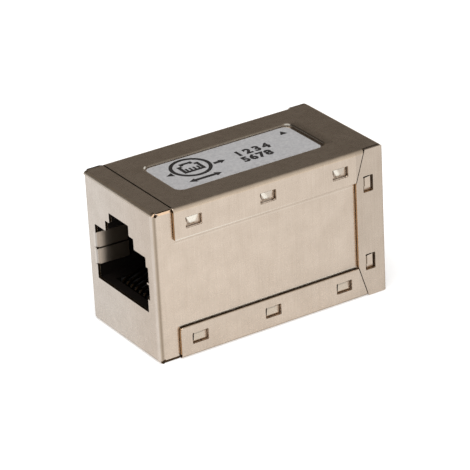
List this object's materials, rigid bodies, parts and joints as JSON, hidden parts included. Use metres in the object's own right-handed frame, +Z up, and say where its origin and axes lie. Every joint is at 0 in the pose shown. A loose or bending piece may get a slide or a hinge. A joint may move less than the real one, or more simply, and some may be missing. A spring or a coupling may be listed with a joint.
{
  "type": "ethernet gender changer",
  "caption": "Shielded in-line coupler: a folded metal box with a socket in each end that joins two network plugs.",
  "frame": {"origin": "middle of the underside", "axes": "+X along the cable line from the front socket to the rear socket, +Z up towards the label and the latch slots"},
  "size_m": [0.034, 0.0172, 0.0205],
  "materials": {
    "nickel_plate": "satin nickel plate on folded copper alloy, brown at the cut edges",
    "label_foil": "matt silver foil",
    "black_plastic": "moulded, semi-gloss",
    "carrier_plastic": "moulded, matt",
    "board_laminate": "green solder mask",
    "gold_contact": "gold plate"
  },
  "bodies": {
    "root": {"front_shell": "nickel_plate", "rear_cover": "nickel_plate", "label": "label_foil", "front_jack_housing": "black_plastic", "rear_jack_housing": "black_plastic", "front_contact_carrier": "carrier_plastic", "rear_contact_carrier": "carrier_plastic", "circuit_board": "board_laminate", "front_contact_1": "gold_contact", "front_contact_2": "gold_contact", "front_contact_3": "gold_contact", "front_contact_4": "gold_contact", "front_contact_5": "gold_contact", "front_contact_6": "gold_contact", "front_contact_7": "gold_contact", "front_contact_8": "gold_contact", "rear_contact_1": "gold_contact", "rear_contact_2": "gold_contact", "rear_contact_3": "gold_contact", "rear_contact_4": "gold_contact", "rear_contact_5": "gold_contact", "rear_contact_6": "gold_contact", "rear_contact_7": "gold_contact", "rear_contact_8": "gold_contact"}
  },
  "joints": []
}
